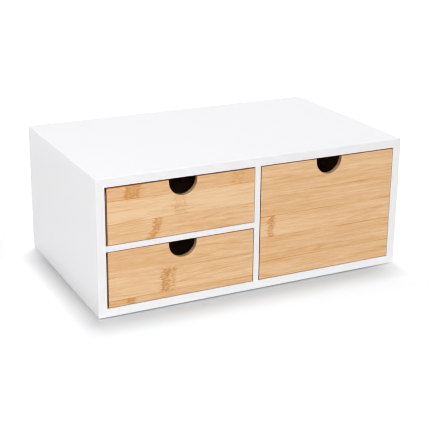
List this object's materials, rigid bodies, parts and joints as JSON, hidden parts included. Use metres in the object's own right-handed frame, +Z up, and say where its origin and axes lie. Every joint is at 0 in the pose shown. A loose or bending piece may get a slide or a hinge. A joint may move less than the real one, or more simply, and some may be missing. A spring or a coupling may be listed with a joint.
{
  "type": "desktop mini drawers",
  "caption": "White board case with three open-topped bamboo-fronted drawers, each with a half-round finger notch, for small craft parts and stationery on a desk.",
  "frame": {"origin": "on the table under the centre of the case, at the underside of the feet", "axes": "+X to the right seen from the front, +Y to the back, +Z up; the drawers slide out along -Y"},
  "size_m": [0.34, 0.21, 0.1415],
  "materials": {
    "painted_board": "smooth satin white paint on board",
    "bamboo": "strip bamboo with a clear matt lacquer",
    "drawer_wood": "sanded light wood, bare",
    "base_ply": "sanded plywood, bare",
    "dowel_wood": "bare beech",
    "foot_pad": "translucent grey soft rubber",
    "brad_steel": "bright steel"
  },
  "bodies": {
    "case": {"top_panel": "painted_board", "bottom_panel": "painted_board", "left_side_panel": "painted_board", "right_side_panel": "painted_board", "back_panel": "painted_board", "divider": "painted_board", "shelf": "painted_board", "case_dowels": "dowel_wood", "back_brads": "brad_steel", "feet": "foot_pad"},
    "upper_left_drawer": {"upper_left_drawer_front": "bamboo", "upper_left_drawer_left_side": "drawer_wood", "upper_left_drawer_right_side": "drawer_wood", "upper_left_drawer_back": "drawer_wood", "upper_left_drawer_base": "base_ply", "upper_left_drawer_brads": "brad_steel"},
    "lower_left_drawer": {"lower_left_drawer_front": "bamboo", "lower_left_drawer_left_side": "drawer_wood", "lower_left_drawer_right_side": "drawer_wood", "lower_left_drawer_back": "drawer_wood", "lower_left_drawer_base": "base_ply", "lower_left_drawer_brads": "brad_steel"},
    "right_drawer": {"right_drawer_front": "bamboo", "right_drawer_left_side": "drawer_wood", "right_drawer_right_side": "drawer_wood", "right_drawer_back": "drawer_wood", "right_drawer_base": "base_ply", "right_drawer_brads": "brad_steel"}
  },
  "joints": [
    {"name": "upper_left_drawer_slide", "type": "slide", "parent": "case", "child": "upper_left_drawer", "axis": [0, -1, 0], "range_m": [0, 0.15]},
    {"name": "lower_left_drawer_slide", "type": "slide", "parent": "case", "child": "lower_left_drawer", "axis": [0, -1, 0], "range_m": [0, 0.15]},
    {"name": "right_drawer_slide", "type": "slide", "parent": "case", "child": "right_drawer", "axis": [0, -1, 0], "range_m": [0, 0.15]}
  ]
}
